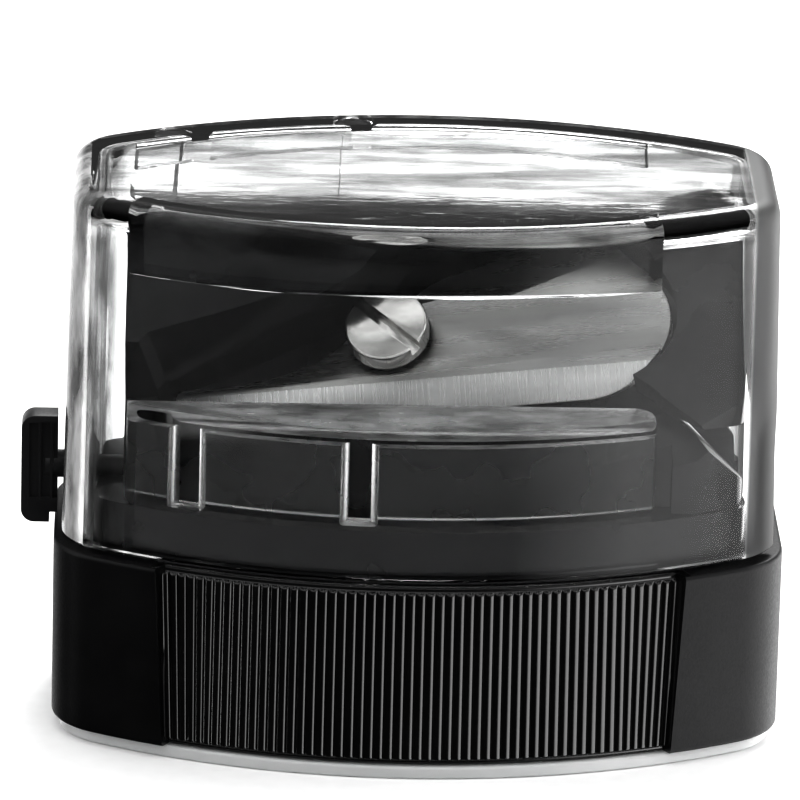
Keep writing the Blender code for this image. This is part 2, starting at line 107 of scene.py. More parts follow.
# Wedge body of the insert
BODY_X = (-16.4 * MM, 18.2 * MM)
BODY_FRONT = -5.2 * MM
BODY_BACK = 8.6 * MM
CHEEK_LEFT = 13.75 * MM
CHEEK_FRONT = -6.3 * MM
BODY_INSET = 2.6 * MM
FACE_DISTANCE = 5.9 * MM
RIDGE_BACK = 5.0 * MM
RIDGE_FALL = radians(62)

# Blade and screw, in the blade's own axes
BLADE_THICK = 0.9 * MM
BLADE_LOW = -0.25 * MM
BLADE_END = (18.5 * MM, 4.6 * MM)
BLADE_END_RADIUS = 4.85 * MM
BEVEL_WIDTH = 1.8 * MM
BEVEL_EDGE = 0.15 * MM
SCREW_AT = (7.6 * MM, 4.5 * MM)
SCREW_HEAD_RADIUS = 2.33 * MM
SCREW_HEAD_HEIGHT = 1.25 * MM
SCREW_SHANK_RADIUS = 1.2 * MM
SCREW_LENGTH = 5.2 * MM
SLOT_WIDTH = 0.65 * MM
SLOT_DEPTH = 0.7 * MM

# Cleaning stick
TAB_X = (stick_low.x, -20.35 * MM)
TAB_Z = (stick_low.z, stick_high.z)
TAB_DEPTH = 1.6 * MM
TAB_CORNER = 0.75 * MM
TAB_STEP = (-20.8 * MM, 11.5 * MM)
GROOVE_FIRST = 0.45 * MM
GROOVE_PITCH = 0.67 * MM
GROOVE_WIDTH = 0.5 * MM
GROOVE_DEPTH = 0.2 * MM
GROOVE_LANDS = (1.45 * MM, 0.4 * MM)
PIN_Z = 14.15 * MM
PIN_RADIUS = 0.8 * MM
PIN_POINT = 0.7 * MM
PIN_END_X = stick_high.x

# Frame moulded inside the cover
SHELF_Z = (19.1 * MM, 20.1 * MM)
SHELF_BACK = -5.6 * MM
SHELF_CORNER = 1.2 * MM
FRAME_X = (-16.2 * MM, 12.7 * MM)
FRAME_OVERLAP = 0.5 * MM
SKIRT_OFFSET = 1.2 * MM
SKIRT_THICK = 0.9 * MM
SKIRT_LOW = 14.5 * MM
UPPER_LOW = 27.8 * MM
UPPER_THICK = 1.8 * MM
UPPER_FALL = radians(14)
BACK_LOW = 29.2 * MM
COLUMN_X = (-12.9 * MM, -3.5 * MM)
COLUMN_RADIUS = 1.05 * MM
COLUMN_INSET = 0.35 * MM
BACK_COLUMN_LOW = 25.8 * MM
OPENING_RADIUS = 4.7 * MM

# Looks of the cover: matt right wall whose dark colour is painted shade, flow marks and a painted shade
# mottle on the left, painted shade streaks near the top, hazy rear edge with painted streaky shade
CLEAR_COLOR = (0.985, 0.99, 0.99)
CLEAR_IOR = 1.56
CLEAR_GLEAM = (0.3, 0.3, 0.3, 1.0)
# Right wall: a matt finish, and its dark base colour is painted shade
MATT_AND_SHADE_X = 18.0 * MM
RIGHT_WALL_PAINTED_SHADE = (0.12, 0.12, 0.12)
FROST_ROUGHNESS = (0.5, 0.5, 0.5)
# Left wall: flow-mark bumps, and a dark mottle in its colour that is painted shade
FLOW_MARKS_AND_SHADE_X = -16.6 * MM
LEFT_WALL_PAINTED_SHADE = (0.10, 0.10, 0.10)
# Near the top: swelling bumps, and dark streaks in the colour that are painted shade
SWELL_AND_SHADE_Z = 29.4 * MM
TOP_PAINTED_STREAK_SHADE = (0.22, 0.22, 0.22)
# Left wall corners and rear top edge: a hazy finish with painted streaky shade in the colour
HAZE_AND_SHADE_X = -18.7 * MM
HAZE_AND_SHADE_Z = 29.6 * MM

# Studio
BACKDROP = 0.6
CAMERA_ELEVATION = radians(18.63)
CAMERA_YAW = radians(1.69)
CAMERA_ROLL = radians(1.45)
CAMERA_DISTANCE = 0.4817
PIXELS_PER_METRE = 17714.0
FRAME_SIZE = 800
CAMERA_AIM_Z = 16.0 * MM
AIM_OFFSET = (-1.12 * MM, 2.10 * MM)


# ---------------------------------------------------------------- mesh helpers
def add_object(name, bm, smooth_angle=30):
    bmesh.ops.recalc_face_normals(bm, faces=bm.faces)
    if bm.calc_volume(signed=True) < 0:
        bmesh.ops.reverse_faces(bm, faces=bm.faces)
    mesh = bpy.data.meshes.new(name)
    bm.to_mesh(mesh)
    bm.free()
    obj = bpy.data.objects.new(name, mesh)
    bpy.context.scene.collection.objects.link(obj)
    shade(obj, smooth_angle)
    return obj


def shade(obj, angle=30):
    obj.data.shade_smooth()
    obj.data.set_sharp_from_angle(angle=radians(angle))


def apply_modifiers(obj):
    graph = bpy.context.evaluated_depsgraph_get()
    mesh = bpy.data.meshes.new_from_object(obj.evaluated_get(graph), depsgraph=graph)
    old = obj.data
    obj.modifiers.clear()
    obj.data = mesh
    mesh.name = obj.name
    bpy.data.meshes.remove(old)


def combine(obj, tools):
    """Apply a list of (operation, tool object) Booleans in order and delete the tools."""
    for operation, tool in tools:
        modifier = obj.modifiers.new("cut", "BOOLEAN")
        modifier.operation = operation
        modifier.object = tool
        modifier.solver = "EXACT"
    apply_modifiers(obj)
    for _, tool in tools:
        bpy.data.objects.remove(tool, do_unlink=True)


def coat(obj, *materials):
    obj.data.materials.clear()
    for mat in materials:
        obj.data.materials.append(mat)


def round_edges(obj, width, segments=3, angle=30):
    """Dissolve flat faces into one and round the sharp edges."""
    bm = bmesh.new()
    bm.from_mesh(obj.data)
    bmesh.ops.remove_doubles(bm, verts=bm.verts, dist=0.002 * MM)
    bmesh.ops.dissolve_limit(bm, angle_limit=radians(0.5), verts=bm.verts, edges=bm.edges)
    bm.to_mesh(obj.data)
    bm.free()
    modifier = obj.modifiers.new("edges", "BEVEL")
    modifier.width = width
    modifier.segments = segments
    modifier.limit_method = "ANGLE"
    modifier.angle_limit = radians(angle)
    modifier.harden_normals = False
    modifier.use_clamp_overlap = True
    apply_modifiers(obj)
    bm = bmesh.new()
    bm.from_mesh(obj.data)
    bmesh.ops.dissolve_degenerate(bm, dist=0.0003 * MM, edges=bm.edges)
    bm.to_mesh(obj.data)
    bm.free()
    shade(obj, 40)


def arc(center, radius, start, end, count):
    points = []
    for i in range(count):
        a = start + (end - start) * i / (count - 1)
        points.append((center[0] + radius * cos(a), center[1] + radius * sin(a)))
    return points


def corner_center():
    x = WIDTH / 2 - CORNER_RADIUS
    y = BOW_CENTER_Y - sqrt((BOW_RADIUS - CORNER_RADIUS) ** 2 - x * x)
    return x, -y


def half_bow_angle():
    cx, cy = corner_center()
    return atan2(cx, BOW_CENTER_Y + cy)


def outline(inset, bow_count=60, corner_count=14, side_count=6):
    """Plan outline moved inwards by inset, counter-clockwise from the front left."""
    cx, cy = corner_center()
    half_bow = half_bow_angle()
    corner = CORNER_RADIUS - inset
    side = [-cy + 2 * cy * (i + 1) / (side_count + 1) for i in range(side_count)]
    x_side = cx + corner
    points = arc((0, BOW_CENTER_Y), BOW_RADIUS - inset, -pi / 2 - half_bow, -pi / 2 + half_bow, bow_count)
    points += arc((cx, -cy), corner, -pi / 2 + half_bow, 0, corner_count)[1:]
    points += [(x_side, y) for y in side]
    points += arc((cx, cy), corner, 0, pi / 2 - half_bow, corner_count)
    points += arc((0, -BOW_CENTER_Y), BOW_RADIUS - inset, pi / 2 - half_bow, pi / 2 + half_bow, bow_count)[1:]
    points += arc((-cx, cy), corner, pi / 2 + half_bow, pi, corner_count)[1:]
    points += [(-x_side, -y) for y in side]
    points += arc((-cx, -cy), corner, pi, 3 * pi / 2 - half_bow, corner_count)[:-1]
    return points


def loft(sections, closed=False):
    """Skin a list of (outline, z) sections; the ends are capped unless the path closes on itself."""
    bm = bmesh.new()
    loops = [[bm.verts.new((x, y, z)) for x, y in points] for points, z in sections]
    pairs = list(zip(loops, loops[1:]))
    if closed:
        pairs.append((loops[-1], loops[0]))
    for low, high in pairs:
        n = len(low)
        for i in range(n):
            j = (i + 1) % n
            bm.faces.new((low[i], low[j], high[j], high[i]))
    if not closed:
        bm.faces.new(loops[0])
        bm.faces.new(loops[-1])
    return bm


def fillet(inset, z, radius, start, end, count=6):
    """(inset, z) stations round a quarter circle whose centre is at inset, z; angles from outwards."""
    return [(inset - radius * cos(a), z + radius * sin(a)) for a in
            (start + (end - start) * i / (count - 1) for i in range(count))]


def wall_path(outer, inner, low, high, radius):
    """Closed (inset, z) path round a wall's section with rounded rims."""
    path = fillet(outer + radius, low + radius, radius, -pi / 2, 0)
    path += fillet(outer + radius, high - radius, radius, 0, pi / 2)
    path += fillet(inner - radius, high - radius, radius, pi / 2, pi)
    path += fillet(inner - radius, low + radius, radius, pi, 3 * pi / 2)
    return path


def prism(points, thickness, matrix=Matrix.Identity(4)):
    bm = loft([(points, 0.0), (points, thickness)])
    bm.transform(matrix)
    return bm


def box(low, high):
    bm = bmesh.new()
    bmesh.ops.create_cube(bm, size=1.0)
    size = Vector(high) - Vector(low)
    middle = (Vector(high) + Vector(low)) / 2
    bm.transform(Matrix.Translation(middle) @ Matrix.Diagonal((*size, 1.0)))
    return bm


def cone(radius_low, radius_high, low, high, segments=96):
    bm = bmesh.new()
    run = Vector(high) - Vector(low)
    bmesh.ops.create_cone(bm, cap_ends=True, segments=segments, radius1=radius_low, radius2=radius_high,
                          depth=run.length)
    turn = run.to_track_quat("Z", "Y").to_matrix().to_4x4()
    bm.transform(Matrix.Translation((Vector(low) + Vector(high)) / 2) @ turn)
    return bm


def turned(profile, steps, matrix=Matrix.Identity(4)):
    """A profile of (radius, z) from the axis to the axis, spun about Z."""
    bm = bmesh.new()
    verts = [bm.verts.new((r, 0, z)) for r, z in profile]
    edges = [bm.edges.new(pair) for pair in zip(verts, verts[1:])]
    bmesh.ops.spin(bm, geom=verts + edges, cent=(0, 0, 0), axis=(0, 0, 1), angle=2 * pi, steps=steps,
                   use_merge=True)
    bmesh.ops.remove_doubles(bm, verts=bm.verts, dist=0.002 * MM)
    bm.transform(matrix)
    return bm


def yz_plane(x):
    """Places a flat outline drawn in (Y, Z) at x, raised along +X."""
    return Matrix(((0, 0, 1, x), (1, 0, 0, 0), (0, 1, 0, 0), (0, 0, 0, 1)))


def xz_plane(y):
    """Places a flat outline drawn in (X, Z) at y, raised along +Y."""
    return Matrix(((1, 0, 0, 0), (0, 0, 1, y), (0, 1, 0, 0), (0, 0, 0, 1)))


def blade_frame():
    """Blade axes: X along the cutting edge, Y up the blade, Z out of its face; origin at the cone tip."""
    out = Vector((0.0, -cos(SEAT_TILT), sin(SEAT_TILT)))
    along = Vector((cos(HALF_ANGLE), 0.0, 0.0)) + out * sin(HALF_ANGLE)
    up = Vector((0.0, sin(SEAT_TILT), cos(SEAT_TILT)))
    normal = along.cross(up)
    if normal.dot(out) < 0:
        normal.negate()
    turn = Matrix((along, up, normal)).transposed().to_4x4()
    return Matrix.Translation((CONE_TIP_X, 0.0, AXIS_Z)) @ turn


def catmull(points, steps):
    """Smooth open curve through points."""
    out = []
    ends = [points[0]] + list(points) + [points[-1]]
    for p0, p1, p2, p3 in zip(ends, ends[1:], ends[2:], ends[3:]):
        for i in range(steps):
            t = i / steps
            out.append(tuple(
                0.5 * (2 * b + (c - a) * t + (2 * a - 5 * b + 4 * c - d) * t * t
                       + (3 * b - a - 3 * c + d) * t ** 3)
                for a, b, c, d in zip(p0, p1, p2, p3)))
    out.append(tuple(points[-1]))
    return out


# ---------------------------------------------------------------- material helpers
def new_material(name):
    mat = bpy.data.materials.new(name)
    mat.use_nodes = True
    nodes, links = mat.node_tree.nodes, mat.node_tree.links
    return mat, nodes, links, nodes["Principled BSDF"]


def coordinates(nodes, links, scale):
    coords = nodes.new("ShaderNodeTexCoord")
    mapping = nodes.new("ShaderNodeMapping")
    mapping.inputs["Scale"].default_value = scale
    links.new(coords.outputs["Object"], mapping.inputs["Vector"])
    return mapping


def noise(nodes, links, vector, scale, detail=3.0, roughness=0.5):
    made = nodes.new("ShaderNodeTexNoise")
    made.inputs["Scale"].default_value = scale
    made.inputs["Detail"].default_value = detail
    made.inputs["Roughness"].default_value = roughness
    links.new(vector.outputs["Vector"], made.inputs["Vector"])
    return made


def ramp(nodes, links, source, low, high, position_low=0.3, position_high=0.7):
    """Map a noise value to a colour or grey between two ends."""
    made = nodes.new("ShaderNodeValToRGB")
    made.color_ramp.elements[0].position = position_low
    made.color_ramp.elements[1].position = position_high
    made.color_ramp.elements[0].color = low if len(low) == 4 else (*low, 1.0)
    made.color_ramp.elements[1].color = high if len(high) == 4 else (*high, 1.0)
    links.new(source, made.inputs["Fac"])
    return made


def bump(nodes, links, height, strength, distance, shader):
    made = nodes.new("ShaderNodeBump")
    made.inputs["Strength"].default_value = strength
    made.inputs["Distance"].default_value = distance
    links.new(height, made.inputs["Height"])
    links.new(made.outputs["Normal"], shader.inputs["Normal"])
    return made


def plastic(name, color, color_high, rough_low, rough_high, grain_scale, grain_height, specular=0.5):
    """Moulded plastic: slight colour mottling, uneven gloss and a fine spark-eroded grain."""
    mat, nodes, links, shader = new_material(name)
    place = coordinates(nodes, links, (1, 1, 1))
    broad = noise(nodes, links, place, 260.0, 4.0)
    fine = noise(nodes, links, place, grain_scale, 3.0, 0.6)
    tint = ramp(nodes, links, broad.outputs["Fac"], color, color_high)
    gloss = ramp(nodes, links, fine.outputs["Fac"], (rough_low,) * 3, (rough_high,) * 3)
    links.new(tint.outputs["Color"], shader.inputs["Base Color"])
    links.new(gloss.outputs["Color"], shader.inputs["Roughness"])
    shader.inputs["Specular IOR Level"].default_value = specular
    bump(nodes, links, fine.outputs["Fac"], 0.6, grain_height, shader)
    return mat


def range_mask(nodes, links, value, start, end):
    """0 to 1 as value goes from start to end."""
    made = nodes.new("ShaderNodeMapRange")
    made.inputs["From Min"].default_value = start
    made.inputs["From Max"].default_value = end
    links.new(value, made.inputs["Value"])
    return made.outputs["Result"]


def combined(nodes, links, operation, first, second):
    """A Math node of two sources; a number is set on its socket."""
    made = nodes.new("ShaderNodeMath")
    made.operation = operation
    for socket, source in zip(made.inputs, (first, second)):
        if isinstance(source, float):
            socket.default_value = source
        else:
            links.new(source, socket)
    return made.outputs["Value"]


def blend(nodes, links, factor, first, second):
    """Colour that goes from first to second as factor goes from 0 to 1."""
    made = nodes.new("ShaderNodeMix")
    made.data_type = "RGBA"
    links.new(factor, made.inputs["Factor"])
    for socket, source in ((made.inputs["A"], first), (made.inputs["B"], second)):
        if isinstance(source, tuple):
            socket.default_value = (*source, 1.0)
        else:
            links.new(source, socket)
    return made.outputs["Result"]


def clear_cover_plastic(color, rough_low, rough_high, wave_height):
    """Clear moulding: hairline scuffs, flow marks with a painted shade mottle on the left, painted shade
    streaks near the top, a matt right wall whose dark colour is painted shade.
    """
    mat, nodes, links, shader = new_material("clear_cover_plastic")
    shader.inputs["Transmission Weight"].default_value = 1.0
    shader.inputs["IOR"].default_value = CLEAR_IOR
    shader.inputs["Specular Tint"].default_value = CLEAR_GLEAM
    place = coordinates(nodes, links, (1, 1, 1))
    split = nodes.new("ShaderNodeSeparateXYZ")
    links.new(place.outputs["Vector"], split.inputs["Vector"])
    matt_and_painted_shade = range_mask(nodes, links, split.outputs["X"], MATT_AND_SHADE_X, MATT_AND_SHADE_X + 0.3 * MM)
    flow_marks_and_painted_shade = range_mask(nodes, links, split.outputs["X"], FLOW_MARKS_AND_SHADE_X, FLOW_MARKS_AND_SHADE_X - 1.2 * MM)

    flow = noise(nodes, links, place, 120.0, 2.0)
    streaks = coordinates(nodes, links, (1, 1, 0.08))
    scuff = noise(nodes, links, streaks, 1800.0, 2.0, 0.7)
    hairlines = ramp(nodes, links, scuff.outputs["Fac"], (rough_low,) * 3, (rough_high,) * 3, 0.55, 0.8)
    rough = blend(nodes, links, matt_and_painted_shade, hairlines.outputs["Color"], FROST_ROUGHNESS)
    links.new(rough, shader.inputs["Roughness"])

    drawn_up = coordinates(nodes, links, (1, 1, 0.28))
    marks = noise(nodes, links, drawn_up, 520.0, 4.0, 0.55)
    # dark mottle on the left wall: painted shade; the same noise also drives the flow-mark bumps
    painted_shade_mottle = ramp(nodes, links, marks.outputs["Fac"], LEFT_WALL_PAINTED_SHADE, color, 0.42, 0.66)
    left = blend(nodes, links, flow_marks_and_painted_shade, color, painted_shade_mottle.outputs["Color"])
    # dark streaks near the top: painted shade; the same bands also drive the swelling bumps
    swell_and_painted_shade = range_mask(nodes, links, split.outputs["Z"], SWELL_AND_SHADE_Z, SWELL_AND_SHADE_Z + 0.8 * MM)
    drawn_across = coordinates(nodes, links, (0.22, 1, 1))
    bands = noise(nodes, links, drawn_across, 420.0, 4.0, 0.6)
    painted_streak_shade = ramp(nodes, links, bands.outputs["Fac"], TOP_PAINTED_STREAK_SHADE, color, 0.40, 0.58)
    upper = blend(nodes, links, swell_and_painted_shade, left, painted_streak_shade.outputs["Color"])
    # the base colour holds painted shade: the dark right wall, the mottle on the left and the streaks near
    # the top
    links.new(blend(nodes, links, matt_and_painted_shade, upper, RIGHT_WALL_PAINTED_SHADE), shader.inputs["Base Color"])

    ripple = combined(nodes, links, "MULTIPLY", marks.outputs["Fac"], flow_marks_and_painted_shade)
    swell = combined(nodes, links, "MULTIPLY", bands.outputs["Fac"], swell_and_painted_shade)
    waves = combined(nodes, links, "ADD", flow.outputs["Fac"], combined(nodes, links, "ADD", ripple, swell))
    bump(nodes, links, waves, 0.5, wave_height, shader)
    return mat


def matt_clear_plastic(color, rough_low, rough_high):
    """The same clear moulding with a matt surface, as the frame inside the cover has."""
    mat, nodes, links, shader = new_material("matt_clear_plastic")
    shader.inputs["Transmission Weight"].default_value = 1.0
    shader.inputs["IOR"].default_value = CLEAR_IOR
    shader.inputs["Specular Tint"].default_value = CLEAR_GLEAM
    place = coordinates(nodes, links, (1, 1, 1))
    cloud = noise(nodes, links, place, 260.0, 2.0, 0.5)
    tint = ramp(nodes, links, cloud.outputs["Fac"], color, (0.95, 0.95, 0.95))
    gloss = ramp(nodes, links, cloud.outputs["Fac"], (rough_low,) * 3, (rough_high,) * 3)
    links.new(tint.outputs["Color"], shader.inputs["Base Color"])
    links.new(gloss.outputs["Color"], shader.inputs["Roughness"])
    bump(nodes, links, cloud.outputs["Fac"], 0.4, 0.006 * MM, shader)
    return mat


def hazy_plastic(name, transmission, color, color_high, stretch, rough_low, rough_high):
    """Clear moulding seen through its length: a hazy finish, and streaks of painted shade in its
    dark-to-light colour.
    """
    mat, nodes, links, shader = new_material(name)
    shader.inputs["Transmission Weight"].default_value = transmission
    shader.inputs["IOR"].default_value = CLEAR_IOR
    place = coordinates(nodes, links, stretch)
    cloud = noise(nodes, links, place, 420.0, 4.0, 0.6)
    tint = ramp(nodes, links, cloud.outputs["Fac"], color, color_high, 0.40, 0.62)
    gloss = ramp(nodes, links, cloud.outputs["Fac"], (rough_low,) * 3, (rough_high,) * 3)
    links.new(tint.outputs["Color"], shader.inputs["Base Color"])
    links.new(gloss.outputs["Color"], shader.inputs["Roughness"])
    bump(nodes, links, cloud.outputs["Fac"], 0.5, 0.015 * MM, shader)
    return mat


def milky_plastic(name, color, color_high):
    """Clear plastic with a finely etched, light-scattering surface."""
    mat, nodes, links, shader = new_material(name)
    shader.inputs["Transmission Weight"].default_value = 0.45
    shader.inputs["IOR"].default_value = 1.5
    place = coordinates(nodes, links, (1, 1, 1))
    cloud = noise(nodes, links, place, 120.0, 1.0)
    etch = noise(nodes, links, place, 3000.0, 2.0)
    tint = ramp(nodes, links, cloud.outputs["Fac"], color, color_high)
    gloss = ramp(nodes, links, etch.outputs["Fac"], (0.30,) * 3, (0.36,) * 3)
    links.new(tint.outputs["Color"], shader.inputs["Base Color"])
    links.new(gloss.outputs["Color"], shader.inputs["Roughness"])
    bump(nodes, links, etch.outputs["Fac"], 0.2, 0.001 * MM, shader)
    return mat


def brushed(name, color, color_high, rough_low, rough_high, scale, height):
    """Ground metal: grain drawn out along one axis of the object's coordinates."""
    mat, nodes, links, shader = new_material(name)
    shader.inputs["Metallic"].default_value = 1.0
    grain_place = coordinates(nodes, links, scale)
    grain = noise(nodes, links, grain_place, 1000.0, 5.0, 0.65)
    cloud_place = coordinates(nodes, links, (0.2, 1, 1))
    cloud = noise(nodes, links, cloud_place, 420.0, 3.0)
    tint = ramp(nodes, links, cloud.outputs["Fac"], color, color_high, 0.35, 0.65)
    gloss = ramp(nodes, links, grain.outputs["Fac"], (rough_low,) * 3, (rough_high,) * 3)
    links.new(tint.outputs["Color"], shader.inputs["Base Color"])
    links.new(gloss.outputs["Color"], shader.inputs["Roughness"])
    bump(nodes, links, grain.outputs["Fac"], 0.35, height, shader)
    return mat


# ---------------------------------------------------------------- grip ring
def smoothstep(x):
    x = min(1.0, max(0.0, x))
    return x * x * (3 - 2 * x)


def panel_stations(z):
    """(angle, recess) along a bow at height z: plain margin, step wall, round ribs, step wall, margin."""
    height = (z - RING_BOTTOM) / (RING_TOP - RING_BOTTOM)
    half_panel = asin(PANEL_HALF_WIDTH / BOW_RADIUS)
    pitch = 2 * half_panel / RIB_COUNT
    edge = half_panel - PANEL_TAPER / BOW_RADIUS * (1 - height)
    floor = RIB_TIP_INSET + PANEL_DRAFT * height
    step = floor / tan(STEP_SLOPE) / BOW_RADIUS
    ends = max(smoothstep((z - RING_TOP + 0.50 * MM) / (0.22 * MM)),
               smoothstep((RING_BOTTOM + 0.42 * MM - z) / (0.16 * MM)))
    right = []
    fixed = half_panel - SQUEEZED_RIBS * pitch
    count = RIB_COUNT // 2 * RIB_SAMPLES
    for i in range(count + 1):
        a = half_panel * i / count
        reach = RIB_FULLNESS * abs((a / pitch + 0.5) % 1.0 - 0.5) * 2
        rib = RIB_DEPTH * max(1.0 - sqrt(1.0 - reach * reach), ends)
        if a > fixed:
            a = fixed + (a - fixed) * (edge - fixed) / (half_panel - fixed)
        right.append((a, floor + rib))
    for k in range(1, 4):
        right.append((edge + step * k / 4, (floor + RIB_DEPTH) * (1 - k / 4)))
    margin = 10
    start = edge + step
    for k in range(margin + 1):
        right.append((start + (half_bow_angle() - start) * k / margin, 0.0))
    return [(-a, recess) for a, recess in reversed(right[1:])] + right


def ring_bow(inset, z, sign, ribs):
    points = []
    for a, recess in panel_stations(z):
        r = BOW_RADIUS - inset - (recess if ribs else 0.0)
        points.append((-sign * r * sin(a), -sign * BOW_CENTER_Y + sign * r * cos(a)))
    return points


def ring_outline(inset, z, ribs):
    cx, cy = corner_center()
    half_bow = half_bow_angle()
    corner = CORNER_RADIUS - inset
    count = 16
    points = ring_bow(inset, z, -1, ribs)
    points += arc((cx, -cy), corner, -pi / 2 + half_bow, 0, count)[1:]
    points += arc((cx, cy), corner, 0, pi / 2 - half_bow, count)
    points += ring_bow(inset, z, 1, ribs)[1:]
    points += arc((-cx, cy), corner, pi / 2 + half_bow, pi, count)[1:]
    points += arc((-cx, -cy), corner, pi, 3 * pi / 2 - half_bow, count)[:-1]
    return points


def make_ring(plain_mat, rib_mat):
    path = wall_path(0.0, RING_WALL, RING_BOTTOM, RING_TOP, RING_ROUND)
    low, high = path[5][1], path[6][1]
    fine = 0.06 * MM
    rows = [low + fine * (i + 1) for i in range(5)]
    rows += [low + (high - low) * (i + 1) / 7 for i in range(6)]
    rows += [high - fine * (5 - i) for i in range(5)]
    path = path[:6] + [(0.0, z) for z in rows] + path[6:]
    sections = [(ring_outline(inset, z, inset < RING_WALL / 2), z) for inset, z in path]
    ring = add_object("grip_ring", loft(sections, closed=True), 50)
    ring.data.materials.append(plain_mat)
    ring.data.materials.append(rib_mat)
    for polygon in ring.data.polygons:
        x, y, z = polygon.center
        depth = BOW_RADIUS - sqrt(x * x + (abs(y) + BOW_CENTER_Y) ** 2)
        if abs(x) < PANEL_HALF_WIDTH + 0.2 * MM and 0.05 * MM < depth < RING_WALL - 0.1 * MM:
            polygon.material_index = 1
    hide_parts("base_ring")
    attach(ring, "base")
    return ring


# ---------------------------------------------------------------- clear foot plate
def make_foot(mat):
    rim = INSERT_INSET + INSERT_WALL + GAP
    rim_top = foot_high.z
    r = 0.16 * MM
    path = fillet(FOOT_INSET + r, r, r, -pi / 2, 0)
    seam = RING_BOTTOM - 0.04 * MM
    path += fillet(FOOT_INSET + r, seam - r, r, 0, pi / 2)
    path += [(INSERT_INSET - 0.1 * MM, seam), (INSERT_INSET, FOOT_TOP), (rim - 0.1 * MM, FOOT_TOP)]
    path += [(rim, FOOT_TOP + 0.1 * MM)]
    path += fillet(rim + GAP, rim_top - GAP, GAP, 0, pi / 2)
    path += [(rim + FOOT_RIM_WALL, rim_top), (rim + FOOT_RIM_WALL, FOOT_PLATE)]
    foot = add_object("clear_foot", loft([(outline(i), z) for i, z in path]), 40)
    foot.data.materials.append(mat)
    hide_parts("foot_plate")
    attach(foot, "base")
    return foot


# ---------------------------------------------------------------- sharpening insert
def face_cutter():
    reach = 45.0 * MM
    points = [(-reach, -reach), (reach, -reach), (reach, reach), (-reach, reach)]
    lean = Matrix.Translation((0, 0, AXIS_Z)) @ Matrix.Rotation(pi / 2 - SEAT_TILT, 4, "X")
    return prism(points, reach, lean @ Matrix.Translation((0, 0, FACE_DISTANCE)))


def pocket_cutter():
    radius = BLADE_END_RADIUS + 1.5 * GAP
    low = -22.0 * MM
    points = [(-2.0 * MM, low), (28.5 * MM, low), (28.5 * MM, -6.6 * MM), (22.2 * MM, -0.6 * MM)]
    points += arc(BLADE_END, radius, radians(-58), pi / 2, 48)
    upper = [(17.0 * MM, 10.0 * MM), (13.5 * MM, 9.95 * MM), (9.4 * MM, 9.2 * MM), (5.6 * MM, 6.6 * MM),
             (0.1 * MM, 4.2 * MM), (-4.9 * MM, 2.4 * MM)]
    points += catmull(upper, 8)
    points += [(-5.4 * MM, 1.8 * MM), (-5.4 * MM, -1.0 * MM), (-2.0 * MM, -1.0 * MM)]
    return prism(points, 12.0 * MM, blade_frame() @ Matrix.Translation((0, 0, -GAP)))


def tip_cutter():
    left = -20.0 * MM
    points = [(left, -22.0 * MM), (-1.0 * MM, -22.0 * MM), (-1.0 * MM, 1.7 * MM), (left, 1.7 * MM)]
    return prism(points, 12.0 * MM, blade_frame() @ Matrix.Translation((0, 0, BLADE_THICK + GAP)))


def window_cutter():
    points = [(14.3 * MM, 19.1 * MM), (18.6 * MM, 18.85 * MM), (18.6 * MM, 14.7 * MM)]
    return prism(points, 2 * DEPTH, xz_plane(-DEPTH))


def back_cutter():
    """Slopes the wedge's back away from its narrow ridge."""
    reach = 8.0 * MM
    points = [(RIDGE_BACK, BLOCK_TOP), (RIDGE_BACK + reach, BLOCK_TOP - reach * tan(RIDGE_FALL)),
              (RIDGE_BACK + reach, BLOCK_TOP + 1 * MM), (RIDGE_BACK, BLOCK_TOP + 1 * MM)]
    return prism(points, WIDTH, yz_plane(-WIDTH / 2))


